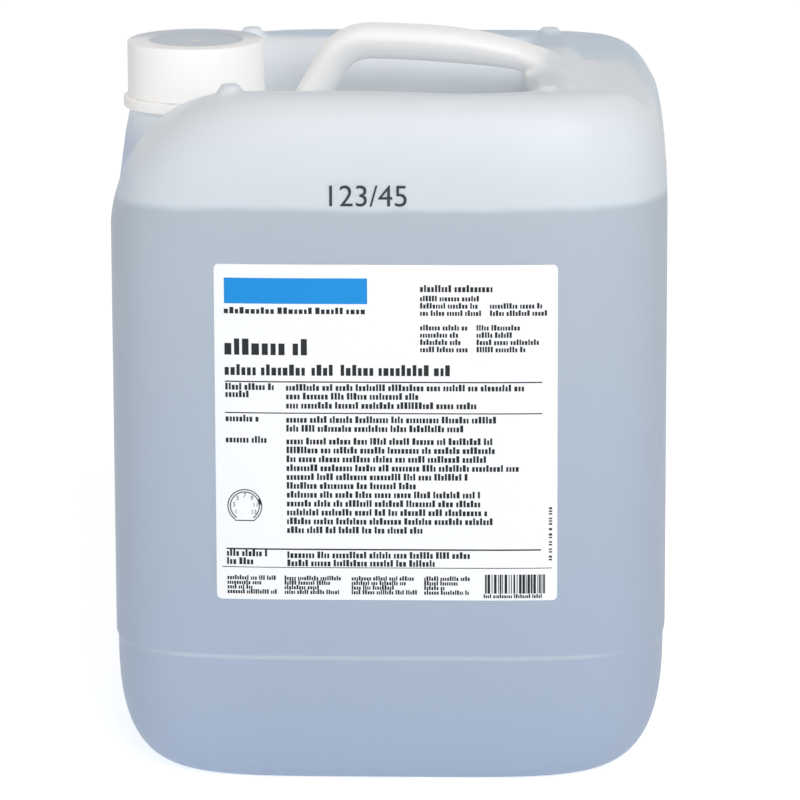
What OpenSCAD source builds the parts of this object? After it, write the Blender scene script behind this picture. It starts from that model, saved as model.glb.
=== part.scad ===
// Ten-litre stacking jerrycan of cleaning fluid, with a screw cap and a tamper ring.
// The can stands on the origin: +Z is up, -Y is the labelled front and -X the spout end.
// All lengths are in millimetres.

/* [Can] */
// Width of the can from end wall to end wall
body_width = 230; // [215:1:245]
// Depth of the can from front wall to rear wall
body_depth = 196; // [186:1:206]
// Height of the two stacking ridges above the floor
ridge_height = 289; // [282:1:298]
// Thickness of the blow-moulded wall
wall = 2; // [1.6:0.1:2.4]
// Squareness of the plan outline, where 2 is an ellipse
plan_squareness = 5; // [4.5:0.25:6]
// Squareness of the side shoulders' and foot ends' roundings, where 2 is an ellipse
edge_squareness = 2.8; // [2.5:0.05:3]
// Squareness of the shoulder's rounding at the spout end
spout_squareness = 1.6; // [1.5:0.05:1.8]
// Squareness of the shoulder's rounding at the handle end
handle_end_squareness = 2.4; // [2.2:0.05:2.6]
// Squareness of the foot's rounding under the front and rear walls
toe_squareness = 2.2; // [2:0.05:2.4]

/* [Foot] */
// Height of the crease line round the lower body
crease_height = 56; // [52:1:60]
// Step in below the crease line
crease_step = 0.8; // [0.5:0.1:1.2]
// Height over which the crease line steps in
crease_rise = 1.5; // [1:0.1:2]
// Rounding of the foot below the two end walls
foot_end_round = 33.5; // [30:0.5:36]
// Rounding of the foot below the front and rear walls
foot_side_round = 24; // [20:1:26]
// Width of each sloping side of the stacking channel under the base
channel_flank = 14; // [10:1:16]
// Room over and beside the handle and cap of a can stacked below
stack_clearance = 3; // [2:0.5:4]

/* [Shoulders and tray] */
// Height over which the shoulders round in below the ridges
shoulder_height = 60; // [56:1:64]
// Distance of each ridge crest from the wall below it
ridge_inset = 18; // [16:1:20]
// Rounding of the ridges' ends into the wall at the spout end
spout_end_round = 44; // [40:1:46]
// Rounding of the ridges' ends into the wall at the handle end
handle_end_round = 18; // [16:1:22]
// Width of the tray floor between the feet of the two ridges
tray_width = 106; // [100:1:112]
// Depth of the tray below the ridges, behind the handle
tray_depth = 8; // [7:0.5:9]
// Depth below the ridges of the bridge that the handle runs out on
bridge_depth = 2; // [1:0.5:3]
// Depth of the grip pocket under the handle below the ridges
pocket_depth = 30; // [28:0.5:32]
// Depth of the tray round the spout below the ridges
spout_depth = 36; // [34:0.5:38]
// Distance of the pocket's closed end from the end wall
pocket_inset = 67; // [64:1:70]
// Length of the ramp from the pocket's floor up to the bridge
pocket_ramp = 12; // [10:1:14]
// Length of the bridge between the pocket and the tray
bridge_length = 4; // [3:0.5:6]
// Length of the bridge's fall to the tray
bridge_fall = 12; // [11:1:15]
// Distance from the middle of the can to where the floor starts to fall to the spout
spout_fall_start = 25; // [20:1:30]
// Length of the fall to the spout
spout_fall_length = 50; // [40:1:60]
// Distance between the stacking nubs along a ridge
nub_spacing = 128; // [122:1:134]
// Distance of the stacking nubs' axes from the side walls
nub_inset = 22; // [20:0.5:24]
// Diameter of a stacking nub
nub_diameter = 11; // [10:0.5:13]
// Diameter of a stacking nub's flat top
nub_top_diameter = 6.4; // [5:0.2:8]
// Height of a stacking nub above its ridge
nub_height = 1.8; // [1.4:0.1:2]
// Depth of a stacking nub's root below its ridge
nub_root = 7; // [6:0.5:8]

/* [Handle] */
// Height of the handle's crown above the ridges
handle_rise = 16.1; // [14:0.1:18]
// Thickness of the handle's bar
handle_thickness = 15.4; // [14:0.2:17]
// Fall of the bar from its crown to where the fan starts
bar_fall = 1.2; // [1:0.1:1.5]
// Width of the handle's bar
handle_width = 22; // [20:0.5:26]
// Distance of the post's foot from the neck's axis
post_gap = 36.3; // [34:0.1:40]
// How far the post leans over from its foot to the bar
post_lean = 26; // [24:0.5:28]
// Length of the bend from the post into the bar
handle_bend = 11; // [9:0.5:13]
// Thickness of the post
post_thickness = 13; // [12:0.5:15]
// Width of the post at its foot
post_width = 27; // [24:0.5:30]
// Distance of the fan's end from the end wall
fan_inset = 38; // [36:0.5:40]
// Length over which the bar falls to the fan's end
fan_fall = 11; // [9:0.5:13]
// Width of the fan where the bar runs out into the tray
fan_width = 56; // [50:1:62]
// Thickness of the fan at its end
fan_thickness = 9.5; // [8:0.5:11]
// Depth of the fan's end below the tray's floor, to the middle of its thickness
fan_sink = 4; // [3.5:0.5:6]

/* [Neck] */
// Distance of the neck's axis from the end wall
neck_inset = 33.2; // [32:0.2:35]
// Length of the neck and its pillar above the tray
neck_length = 38.2; // [36:0.2:40]
// Diameter of the mouth
mouth_diameter = 41; // [38:0.5:42]
// Diameter of the neck at the root of its thread
thread_root_diameter = 48; // [47:0.1:48.4]
// Diameter of the neck below the locking bead
bead_groove_diameter = 53; // [52.5:0.1:53.2]
// Diameter of the locking bead that holds the tamper ring
bead_diameter = 55.6; // [55.2:0.1:55.8]
// Height of the locking bead's rim
bead_height = 1; // [0.8:0.1:1.2]
// Diameter of the pillar at the ring's seat
pillar_top_diameter = 55.4; // [55.2:0.1:56.4]
// Diameter of the pillar at its waist
pillar_waist_diameter = 59.8; // [59:0.2:60.4]
// Depth of the pillar's waist below the ring's seat
pillar_waist_drop = 11.6; // [10:0.2:13]
// Diameter of the pillar where it runs into the end wall
pillar_foot_diameter = 66; // [65:0.2:66.2]
// Depth of the pillar's foot below the ring's seat
pillar_foot_drop = 34; // [32:0.5:36]

/* [Cap] */
// Diameter of the cap
cap_diameter = 57.2; // [56.8:0.1:58.4]
// Inside diameter of the skirt, at the root of its thread
cap_bore_diameter = 52; // [51.6:0.1:52.4]
// Length of the skirt below the cap's ceiling
skirt_length = 18.6; // [18.2:0.1:19.4]
// Thickness of the top plate below its recess
cap_plate = 1.8; // [1.5:0.1:2.2]
// Diameter of the recess in the top
recess_diameter = 35; // [33:0.5:38]
// Depth of the recess in the top
recess_depth = 2.5; // [2:0.1:3]
// Width of the recess's sloping side
recess_slope = 1.2; // [0.8:0.1:1.6]
// Rounding of the cap's top edge
cap_round = 1.3; // [1:0.1:1.6]
// Thickness of the sealing disc
seal_thickness = 1.6; // [1.2:0.1:2]
// Diameter of the sealing disc
seal_diameter = 50.4; // [49.5:0.1:51]
// Bevel of the sealing disc's edges
seal_bevel = 0.3; // [0.2:0.1:0.5]

/* [Tamper ring] */
// Diameter of the tamper ring
ring_diameter = 60.8; // [60.2:0.1:61.4]
// Height of the tamper ring
ring_height = 4.4; // [4.2:0.1:4.6]
// Height of the lip that hooks under the locking bead
ring_lip = 1.2; // [1:0.1:1.4]
// Bevel of the ring's outer edges
ring_bevel = 0.9; // [0.6:0.1:1.2]

/* [Contents and label] */
// Depth of the fluid's surface below the tray's underside at the spout
ullage = 8; // [5:0.5:40]
// Width of the label
label_width = 139; // [130:1:146]
// Height of the label
label_height = 139.5; // [130:0.5:145]
// Height of the label's lower edge above the floor
label_bottom = 81.6; // [78:0.2:86]
// Distance of the label's middle from the middle of the can, away from the spout
label_offset = 0.6; // [0:0.2:4]
// Rounding of the label's corners
label_corner = 2; // [1:0.5:4]
// Thickness of the label
label_thickness = 0.2; // [0.1:0.05:0.4]

/* [Hidden] */
$fn = 48;

// Clearance between pieces that turn or lift past one another
run_clearance = 0.3;
// Clearance between the sealing disc and what it closes on
seal_clearance = 0.2;
// Clearance between the fluid and the wall round it
fluid_clearance = 0.3;
// Clearance between the label and the wall that it sticks to
label_clearance = 0.05;
// Overrun of every cut past the face that it opens
overrun = 5;
// Bevel of the neck's rim and of the skirt's lower edge
rim_bevel = 0.6;

// Facets round the can and round the handle
can_sides = 80;
handle_sides = 16;
// Steps round a shoulder or foot rounding, down each fall of the tray, along the handle's bend and bar
round_steps = 8;
tray_steps = 6;
bend_steps = 5;
bar_steps = 11;
label_steps = 18;
// Stations down a ridge's inner flank, from past its crest to the tray's floor
flank_shares = [1.25, 0.75, 0.5, 0.25, 0];
// How far along the bar it starts to thin and to spread towards the fan
thin_start_share = 0.25;
spread_start_share = 0.65;
// Squareness of the handle's cross-section, where 2 is an ellipse
handle_squareness = 2.6;

half_width = body_width / 2;
half_depth = body_depth / 2;
ridge_half = half_depth - ridge_inset;
tray_half = tray_width / 2;
shoulder_base = ridge_height - shoulder_height;
spout_floor = ridge_height - spout_depth;
fill_height = spout_floor - wall - ullage;
handle_top = ridge_height + handle_rise;
neck_offset = half_width - neck_inset;
post_foot = neck_offset - post_gap;
fan_end = half_width - fan_inset;
pocket_end = half_width - pocket_inset;
bridge_end = pocket_end + pocket_ramp + bridge_length;
rim_height = spout_floor + neck_length;
channel_depth = handle_rise + stack_clearance;
channel_half = ring_diameter / 2 + stack_clearance;

cap_ceiling = rim_height + seal_clearance + seal_thickness + seal_clearance;
cap_top = cap_ceiling + cap_plate + recess_depth;
skirt_bottom = cap_ceiling - skirt_length;
ring_top = skirt_bottom - run_clearance;
ring_bottom = ring_top - ring_height;
ring_seat = ring_bottom - run_clearance;
bead_bottom = ring_bottom + ring_lip + run_clearance;

// Value held between 0 and 1
function held(t) = max(0, min(1, t));

// Smooth rise from 0 to 1 as v runs along a span
function eased(start, end, v) =
    let (t = held((v - start) / (end - start)))
    t * t * (3 - 2 * t);

// Signed power, for superellipses
function signed_power(v, power) = sign(v) * pow(abs(v), power);

// Point of a superelliptic plan outline in one direction
function plan_point(angle, half_x, half_y) =
    let (
        along = pow(abs(cos(angle)) / half_x, plan_squareness),
        across = pow(abs(sin(angle)) / half_y, plan_squareness),
        radius = pow(along + across, -1 / plan_squareness)
    )
    [radius * cos(angle), radius * sin(angle)];

// How far in a rounding has gone at a share of its height
function round_in(share, squareness) = 1 - pow(1 - pow(share, squareness), 1 / squareness);

// Shares of height at which a rounding's rings lie
round_shares = [for (i = [0 : round_steps]) sin(90 * i / round_steps)];

// Depth of the tray's floor below the ridges, along the can
function floor_drop(x) =
    bridge_depth
    + (tray_depth - bridge_depth) * eased(bridge_end, bridge_end + bridge_fall, x)
    + (pocket_depth - bridge_depth) * eased(pocket_end + pocket_ramp, pocket_end, x)
    + (spout_depth - pocket_depth) * eased(-spout_fall_start, -spout_fall_start - spout_fall_length, x);

// Point of the foot's rounding, share 0 at the crease and 1 on the base
function foot_point(angle, share, skin) =
    let (
        inset = skin + crease_step,
        p = plan_point(
            angle,
            half_width - inset - foot_end_round * round_in(share, edge_squareness),
            half_depth - inset - foot_side_round * round_in(share, toe_squareness)
        )
    )
    [p.x, p.y, skin + crease_height * (1 - share)];

// Point of the upright wall
function wall_point(angle, z, skin) =
    let (p = plan_point(angle, half_width - skin, half_depth - skin))
    [p.x, p.y, z];

// Point of the shoulder's rounding, share 0 at the wall and 1 on the ridge
function shoulder_point(angle, share, skin) =
    let (
        end_round = cos(angle) < 0
            ? spout_end_round * round_in(share, spout_squareness)
            : handle_end_round * round_in(share, handle_end_squareness),
        side_round = ridge_inset * round_in(share, edge_squareness),
        p = plan_point(angle, half_width - skin - end_round, half_depth - skin - side_round)
    )
    [p.x, p.y, shoulder_base + (shoulder_height - skin) * share];

// Rings of the can's skin before its tray and channel, from the base up to the ridges
function can_rings(skin) =
    let (angles = [for (i = [0 : can_sides - 1]) 360 * (i + 0.5) / can_sides])
    concat(
        [for (i = [round_steps : -1 : 0]) [for (a = angles) foot_point(a, round_shares[i], skin)]],
        [[for (a = angles) wall_point(a, skin + crease_height + crease_rise, skin)]],
        [for (share = round_shares) [for (a = angles) shoulder_point(a, share, skin)]]
    );

// Ring of the tray's skin across the can: down the front ridge's flank and up the rear's
function tray_ring(x, skin) =
    let (
        run = ridge_half - tray_half,
        side = concat(
            [[tray_half + skin + run * flank_shares[0], ridge_height + overrun]],
            [
                for (t = flank_shares)
                    [tray_half + skin + run * t, ridge_height - skin - floor_drop(x) * signed_power(1 - t, 2)]
            ]
        ),
        last = len(side) - 1
    )
    concat(
        [for (p = side) [x, -p.x, p.y]],
        [for (i = [last : -1 : 0]) [x, side[i].x, side[i].y]]
    );

// Stations of the tray's rings, from past the spout end to past the handle end
tray_stations = concat(
    [-half_width - overrun],
    [for (i = [tray_steps : -1 : 0]) -spout_fall_start - spout_fall_length * i / tray_steps],
    [for (i = [0 : tray_steps]) pocket_end + pocket_ramp * i / tray_steps],
    [for (i = [0 : tray_steps]) bridge_end + bridge_fall * i / tray_steps],
    [half_width + overrun]
);

// Closed skin over a stack of rings, whose end rings are closed across their middle line
module lofted(rings) {
    count = len(rings[0]);
    last = len(rings) - 1;
    half = count / 2;
    top = last * count;
    walls = [
        for (r = [0 : last - 1], i = [0 : count - 1])
            let (
                a = r * count + i,
                b = r * count + (i + 1) % count
            )
            each [[a, a + count, b], [b, a + count, b + count]]
    ];
    floor = [for (i = [0 : half - 2]) each [[i, i + 1, count - 1 - i], [i + 1, count - 2 - i, count - 1 - i]]];
    roof = [for (f = floor) [f[2] + top, f[1] + top, f[0] + top]];
    polyhedron([for (ring = rings) each ring], concat(walls, floor, roof));
}

// Groove of the stacking channel, grown by a skin, to be cut along the whole base
module channel(skin) {
    slope = channel_flank / channel_depth;
    roof = channel_half + skin;
    mouth = roof + slope * (channel_depth + skin + overrun);
    translate([-half_width - overrun, 0, 0])
        rotate([90, 0, 90])
            linear_extrude(height = body_width + 2 * overrun)
                polygon([
                    [-mouth, -overrun],
                    [mouth, -overrun],
                    [roof, channel_depth + skin],
                    [-roof, channel_depth + skin]
                ]);
}

// Can shrunk by a skin, with its tray and channel, before the handle and neck
module can_blank(skin) {
    difference() {
        lofted(can_rings(skin));
        lofted([for (x = tray_stations) tray_ring(x, skin)]);
        channel(skin);
    }
}

// Point of a quadratic curve between two ends that leans towards a corner
function curve_point(from, corner, to, t) = from * (1 - t) * (1 - t) + corner * 2 * t * (1 - t) + to * t * t;

// Centre line of the handle as [x, z], from under the post's foot to inside the fan's end
handle_axis_height = handle_top - handle_thickness / 2;
handle_corner = [post_lean - post_foot, handle_axis_height];
post_start = [-post_foot, ridge_height - pocket_depth - overrun];
post_direction = (handle_corner - post_start) / norm(handle_corner - post_start);
bend_start = handle_corner - post_direction * handle_bend;
bend_end = handle_corner + [handle_bend, 0];
fan_corner = [fan_end - fan_fall, handle_axis_height - bar_fall];
fan_stop = [fan_end, ridge_height - tray_depth - fan_sink];
handle_axis = concat(
    [post_start, (post_start + bend_start) / 2],
    [for (i = [0 : bend_steps]) curve_point(bend_start, handle_corner, bend_end, i / bend_steps)],
    [for (i = [1 : bar_steps]) curve_point(bend_end, fan_corner, fan_stop, i / bar_steps)]
);

// Ring of the handle's skin round one station of its centre line
function handle_ring(station, skin) =
    let (
        here = handle_axis[station],
        before = handle_axis[max(station - 1, 0)],
        after = handle_axis[min(station + 1, len(handle_axis) - 1)],
        along = (after - before) / norm(after - before),
        foot = eased(-post_foot + post_lean, -post_foot, here.x),
        thin = eased(fan_end * thin_start_share, fan_end, here.x),
        fan = eased(fan_end * spread_start_share, fan_end, here.x),
        thick = handle_thickness
            + (post_thickness - handle_thickness) * foot
            + (fan_thickness - handle_thickness) * thin,
        wide = handle_width + (post_width - handle_width) * foot + (fan_width - handle_width) * fan
    )
    [
        for (i = [0 : handle_sides - 1])
            let (
                angle = 360 * (i + 0.5) / handle_sides,
                up = (thick / 2 - skin) * signed_power(cos(angle), 2 / handle_squareness),
                out = -(wide / 2 - skin) * signed_power(sin(angle), 2 / handle_squareness)
            )
            [here.x - along.y * up, out, here.y + along.x * up]
    ];

// Handle as a bent bar, shrunk by a skin
module handle_bar(skin) {
    lofted([for (s = [0 : len(handle_axis) - 1]) handle_ring(s, skin)]);
}

// Neck and its pillar, solid
module neck_outside() {
    bead_top = bead_bottom + bead_height;
    bead_cone = (bead_diameter - thread_root_diameter) / 2;
    pillar_foot = ring_seat - pillar_foot_drop;
    translate([-neck_offset, 0, 0])
        rotate_extrude()
            polygon([
                [0, pillar_foot],
                [pillar_foot_diameter / 2, pillar_foot],
                [pillar_waist_diameter / 2, ring_seat - pillar_waist_drop],
                [pillar_top_diameter / 2, ring_seat],
                [bead_groove_diameter / 2, ring_seat],
                [bead_groove_diameter / 2, bead_bottom],
                [bead_diameter / 2, bead_bottom],
                [bead_diameter / 2, bead_top],
                [thread_root_diameter / 2, bead_top + bead_cone],
                [thread_root_diameter / 2, rim_height - rim_bevel],
                [thread_root_diameter / 2 - rim_bevel, rim_height],
                [0, rim_height]
            ]);
}

// Way through the neck, from above the rim down into the can
module neck_inside() {
    pillar_wall = (pillar_top_diameter - mouth_diameter) / 2;
    pillar_foot = ring_seat - pillar_foot_drop;
    translate([-neck_offset, 0, 0])
        rotate_extrude()
            polygon([
                [0, pillar_foot],
                [pillar_foot_diameter / 2 - wall, pillar_foot],
                [pillar_waist_diameter / 2 - wall, ring_seat - pillar_waist_drop],
                [pillar_top_diameter / 2 - wall, ring_seat - pillar_wall],
                [mouth_diameter / 2, ring_seat],
                [mouth_diameter / 2, rim_height + overrun],
                [0, rim_height + overrun]
            ]);
}

// Stacking nubs on the ridges, as pegs with flat tops and sloping sides
module nubs() {
    nub_half = half_depth - nub_inset;
    for (x = [-nub_spacing / 2, nub_spacing / 2], y = [-nub_half, nub_half])
        translate([x, y, ridge_height])
            rotate_extrude()
                polygon([
                    [0, -nub_root],
                    [nub_diameter / 2, -nub_root],
                    [nub_diameter / 2, -nub_height / 2],
                    [nub_top_diameter / 2, nub_height],
                    [0, nub_height]
                ]);
}

module canister_body() {
    color([0.88, 0.9, 0.92])
        difference() {
            union() {
                can_blank(0);
                handle_bar(0);
                neck_outside();
                nubs();
            }
            can_blank(wall);
            handle_bar(wall);
            neck_inside();
        }
}

module cleaning_fluid() {
    color([0.68, 0.77, 0.86])
        difference() {
            lofted(can_rings(wall + fluid_clearance));
            channel(wall + fluid_clearance);
            translate([-body_width, -body_depth, fill_height])
                cube([2 * body_width, 2 * body_depth, ridge_height]);
        }
}

// Front wall's place at a distance from the middle of the can, moved out by a gap
function front_y(x, gap) =
    -(half_depth + gap) * pow(1 - pow(abs(x) / (half_width + gap), plan_squareness), 1 / plan_squareness);

module front_label() {
    left = label_offset - label_width / 2;
    outside = label_clearance + label_thickness;
    stations = [for (i = [0 : label_steps]) left + label_width * i / label_steps];
    color([0.96, 0.97, 0.98])
        intersection() {
            linear_extrude(height = ridge_height)
                polygon(concat(
                    [for (x = stations) [x, front_y(x, outside)]],
                    [for (i = [label_steps : -1 : 0]) [stations[i], front_y(stations[i], label_clearance)]]
                ));
            translate([left, 0, label_bottom])
                rotate([90, 0, 0])
                    linear_extrude(height = body_depth)
                        hull()
                            for (x = [label_corner, label_width - label_corner],
                                 z = [label_corner, label_height - label_corner])
                                translate([x, z])
                                    circle(r = label_corner, $fn = 32);
        }
}

module screw_cap() {
    radius = cap_diameter / 2;
    recess_floor = cap_top - recess_depth;
    edge = [for (i = [0 : round_steps]) 90 * i / round_steps];
    color([0.97, 0.97, 0.96])
        translate([-neck_offset, 0, 0])
            rotate_extrude()
                polygon(concat(
                    [
                        [cap_bore_diameter / 2 + rim_bevel, skirt_bottom],
                        [radius - rim_bevel, skirt_bottom],
                        [radius, skirt_bottom + rim_bevel]
                    ],
                    [for (a = edge) [radius - cap_round * (1 - cos(a)), cap_top - cap_round * (1 - sin(a))]],
                    [
                        [recess_diameter / 2, cap_top],
                        [recess_diameter / 2 - recess_slope, recess_floor],
                        [0, recess_floor],
                        [0, cap_ceiling],
                        [cap_bore_diameter / 2, cap_ceiling],
                        [cap_bore_diameter / 2, skirt_bottom + rim_bevel]
                    ]
                ));
}

module cap_seal() {
    radius = seal_diameter / 2;
    bottom = rim_height + seal_clearance;
    top = bottom + seal_thickness;
    color([0.85, 0.87, 0.88])
        translate([-neck_offset, 0, 0])
            rotate_extrude()
                polygon([
                    [0, bottom],
                    [radius - seal_bevel, bottom],
                    [radius, bottom + seal_bevel],
                    [radius, top - seal_bevel],
                    [radius - seal_bevel, top],
                    [0, top]
                ]);
}

module tamper_ring() {
    radius = ring_diameter / 2;
    lip_radius = bead_groove_diameter / 2 + run_clearance;
    inner_radius = bead_diameter / 2 + run_clearance;
    color([0.97, 0.97, 0.96])
        translate([-neck_offset, 0, 0])
            rotate_extrude()
                polygon([
                    [lip_radius, ring_bottom],
                    [radius - ring_bevel, ring_bottom],
                    [radius, ring_bottom + ring_bevel],
                    [radius, ring_top - ring_bevel],
                    [radius - ring_bevel, ring_top],
                    [inner_radius, ring_top],
                    [inner_radius, ring_bottom + ring_lip],
                    [lip_radius, ring_bottom + ring_lip]
                ]);
}

canister_body();
cleaning_fluid();
front_label();
screw_cap();
cap_seal();
tamper_ring();
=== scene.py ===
# %% [markdown]
# # A ten-litre jerrycan of cleaning fluid
#
# The real object is a blow-moulded can of natural polyethylene. Its wall is milky, so the
# pale blue fluid shows through it as a soft tint that stops at the fluid's surface. On top
# are two stacking ridges, a hollow handle and a neck with a white screw cap.
#
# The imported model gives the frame: every size below is the part's own, in millimetres, and
# every piece is drawn in that frame, in metres.

# %% Load the frame
import math

import bpy
import bmesh
import numpy as np
import openvdb
from mathutils import Matrix, Vector


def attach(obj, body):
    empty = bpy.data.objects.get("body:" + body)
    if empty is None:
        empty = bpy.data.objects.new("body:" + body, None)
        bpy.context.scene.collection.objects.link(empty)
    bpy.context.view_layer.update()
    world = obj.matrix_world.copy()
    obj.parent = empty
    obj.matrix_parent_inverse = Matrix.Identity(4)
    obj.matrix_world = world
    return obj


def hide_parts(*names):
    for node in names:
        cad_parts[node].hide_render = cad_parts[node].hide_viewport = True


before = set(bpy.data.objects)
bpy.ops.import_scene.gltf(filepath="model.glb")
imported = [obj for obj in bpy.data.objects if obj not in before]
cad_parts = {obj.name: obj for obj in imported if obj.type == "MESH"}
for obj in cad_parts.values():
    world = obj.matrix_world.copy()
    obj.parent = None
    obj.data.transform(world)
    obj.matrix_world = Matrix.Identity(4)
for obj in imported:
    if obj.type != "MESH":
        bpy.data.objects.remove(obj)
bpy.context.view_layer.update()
MM = 0.001

# %% [markdown]
# ## Two helpers for materials
#
# Colours are written as sRGB hex, as a picker shows them, and Blender's shaders want linear
# light, so one function converts them. A second one adds a node, gives it its settings and
# joins its inputs, which keeps each material short enough to read at a glance.

# %% Colour and node helpers
def linear(code):
    """Linear RGBA of an sRGB hex colour."""
    parts = [int(code[i:i + 2], 16) / 255 for i in (1, 3, 5)]
    return (*[p / 12.92 if p <= 0.04045 else ((p + 0.055) / 1.055) ** 2.4 for p in parts], 1.0)


def add(tree, kind, inputs=None, **settings):
    """Adds a node, sets its properties, and links or sets its inputs by name or number."""
    made = tree.nodes.new(kind)
    for key, value in settings.items():
        setattr(made, key, value)
    for key, value in (inputs or {}).items():
        if isinstance(value, bpy.types.NodeSocket):
            tree.links.new(value, made.inputs[key])
        else:
            made.inputs[key].default_value = value
    return made


def blank_material(name):
    """A new material with an empty node tree and its output node."""
    made = bpy.data.materials.new(name)
    made.use_nodes = True
    made.node_tree.nodes.clear()
    return made, made.node_tree, made.node_tree.nodes.new("ShaderNodeOutputMaterial")


print("helpers ready")

# %% [markdown]
# ## The camera
#
# The can was seen from far away through a long lens, about 2.4 metres off, a little above
# the cap and almost square to the label. The camera is set from those angles.

# %% Camera
CAMERA_DISTANCE, CAMERA_RISE, CAMERA_SWING, CAMERA_ROLL = 2399.0, 12.6, 1.97, -0.2
CAMERA_TARGET = Vector((2.91, 0.0, 143.38))
SENSOR_WIDTH, FOCAL_SHARE = 36.0, 5674.96 / 800

rise, swing, roll = (math.radians(a) for a in (CAMERA_RISE, CAMERA_SWING, CAMERA_ROLL))
flat = math.cos(rise)
ahead = Vector((-math.sin(swing) * flat, math.cos(swing) * flat, -math.sin(rise)))
right = Vector((math.cos(swing), math.sin(swing), 0.0))
upward = right.cross(ahead)
right, upward = (
    right * math.cos(roll) + upward * math.sin(roll),
    upward * math.cos(roll) - right * math.sin(roll),
)
camera_data = bpy.data.cameras.new("camera")
camera_data.sensor_width = SENSOR_WIDTH
camera_data.lens = SENSOR_WIDTH * FOCAL_SHARE
camera_data.clip_start, camera_data.clip_end = 0.1, 50.0
camera = bpy.data.objects.new("camera", camera_data)
bpy.context.scene.collection.objects.link(camera)
turned = Matrix((right, upward, -ahead)).transposed().to_4x4()
camera.matrix_world = Matrix.Translation((CAMERA_TARGET - ahead * CAMERA_DISTANCE) * MM) @ turned
bpy.context.scene.camera = camera
bpy.context.scene.view_settings.view_transform = "Standard"
print("camera at", [round(v, 3) for v in camera.matrix_world.translation])

# %% [markdown]
# ## The studio
#
# The can stands in even white light that comes mostly from the front, so its upward faces
# and its ends are darker than its front. One large lamp does that, two weak ones lift the
# ends, and a grey world fills the rest. The floor and the world are white to the camera, and
# the lamps stay at a level at which a colour renders as written.

# %% Floor, world and lamps
FLOOR_SIZE = 12.0
FLOOR_LIGHT, FLOOR_WHITE, WORLD_LIGHT, WORLD_WHITE = 0.22, 0.64, 0.36, 1.0
LAMP_AIM, LAMP_SIZE = Vector((0.0, 0.0, 0.15)), 1.2
LAMPS = (
    ("front_softbox", Vector((0.6, -2.1, 1.2)), 31.0),
    ("right_fill", Vector((2.1, -0.7, 0.7)), 3.0),
    ("left_fill", Vector((-2.1, -0.5, 0.5)), 1.0),
)

floor_mesh = bpy.data.meshes.new("studio_floor")
half = FLOOR_SIZE / 2
floor_mesh.from_pydata(
    [(-half, -half, 0), (half, -half, 0), (half, half, 0), (-half, half, 0)], [], [(0, 1, 2, 3)]
)
floor = bpy.data.objects.new("studio_floor", floor_mesh)
bpy.context.scene.collection.objects.link(floor)

studio_paper, tree, out = blank_material("white_studio_paper")
paper = add(tree, "ShaderNodeBsdfDiffuse", {"Color": linear("#F4F5F6")})
to_lens = add(tree, "ShaderNodeLightPath").outputs["Is Camera Ray"]
level = add(tree, "ShaderNodeMapRange", {
    "Value": to_lens, "To Min": FLOOR_LIGHT, "To Max": FLOOR_WHITE,
})
glow = add(tree, "ShaderNodeEmission", {"Color": linear("#FFFFFF"), "Strength": level.outputs[0]})
both = add(tree, "ShaderNodeAddShader", {0: paper.outputs[0], 1: glow.outputs[0]})
tree.links.new(both.outputs[0], out.inputs[0])
floor_mesh.materials.append(studio_paper)

world = bpy.data.worlds.new("white_studio")
world.use_nodes = True
tree = world.node_tree
tree.nodes.clear()
rays = add(tree, "ShaderNodeLightPath").outputs
seen = rays["Is Camera Ray"]
for kind in ("Is Glossy Ray", "Is Transmission Ray"):
    seen = add(tree, "ShaderNodeMath", {0: seen, 1: rays[kind]}, operation="MAXIMUM").outputs[0]
level = add(tree, "ShaderNodeMapRange", {
    "Value": seen, "To Min": WORLD_LIGHT, "To Max": WORLD_WHITE,
})
sky = add(tree, "ShaderNodeBackground", {"Color": (1, 1, 1, 1), "Strength": level.outputs[0]})
tree.links.new(sky.outputs[0], add(tree, "ShaderNodeOutputWorld").inputs[0])
bpy.context.scene.world = world

# Places in metres, powers in watts
for name, place, power in LAMPS:
    lamp_data = bpy.data.lights.new(name, "AREA")
    lamp_data.shape, lamp_data.size, lamp_data.energy = "SQUARE", LAMP_SIZE, power
    lamp = bpy.data.objects.new(name, lamp_data)
    bpy.context.scene.collection.objects.link(lamp)
    lamp.location = place
    lamp.rotation_mode = "QUATERNION"
    lamp.rotation_quaternion = (LAMP_AIM - place).to_track_quat("-Z", "Y")
print("studio: floor, world and", len(LAMPS), "lamps")

# %% [markdown]
# ## The can's shape as a field
#
# A blow-moulded can has no sharp inside corners: the handle, the pillar of the neck and the
# ridges all flow into one another. A field gives that. For each point in space it tells how
# far outside the plastic the point is, and two fields can be joined with a soft edge. The
# sizes are the part's own, so the field follows its solids.

# %% Sizes of the can
HALF_WIDTH, HALF_DEPTH, RIDGE_HEIGHT, WALL = 115.0, 98.0, 289.0, 2.0
PLAN_SQUARE, EDGE_SQUARE, TOE_SQUARE = 5.0, 2.8, 2.2
CREASE_HEIGHT, CREASE_STEP, CREASE_RISE = 56.0, 0.8, 1.5
FOOT_END_ROUND, FOOT_SIDE_ROUND = 33.5, 24.0
CHANNEL_HALF, CHANNEL_DEPTH, CHANNEL_FLANK = 33.4, 19.1, 14.0
SHOULDER_BASE, SHOULDER_HEIGHT, RIDGE_INSET = 229.0, 60.0, 18.0
SPOUT_END_ROUND, SPOUT_SQUARE, HANDLE_END_ROUND, HANDLE_END_SQUARE = 44.0, 1.6, 18.0, 2.4
TRAY_HALF, TRAY_DEPTH, POCKET_DEPTH, SPOUT_DEPTH = 53.0, 8.0, 30.0, 36.0
POCKET_END, POCKET_RAMP, SPOUT_FALL_START, SPOUT_FALL_END = 53.0, 9.0, -25.0, -75.0
BRIDGE_DEPTH, BRIDGE_FOOT, BRIDGE_FALL, BRIDGE_SPLAY = 2.0, 69.0, 8.0, 0.22
RIDGE_SAG, SAG_MIDDLE, SAG_REACH = 1.2, 32.0, 24.0
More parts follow.
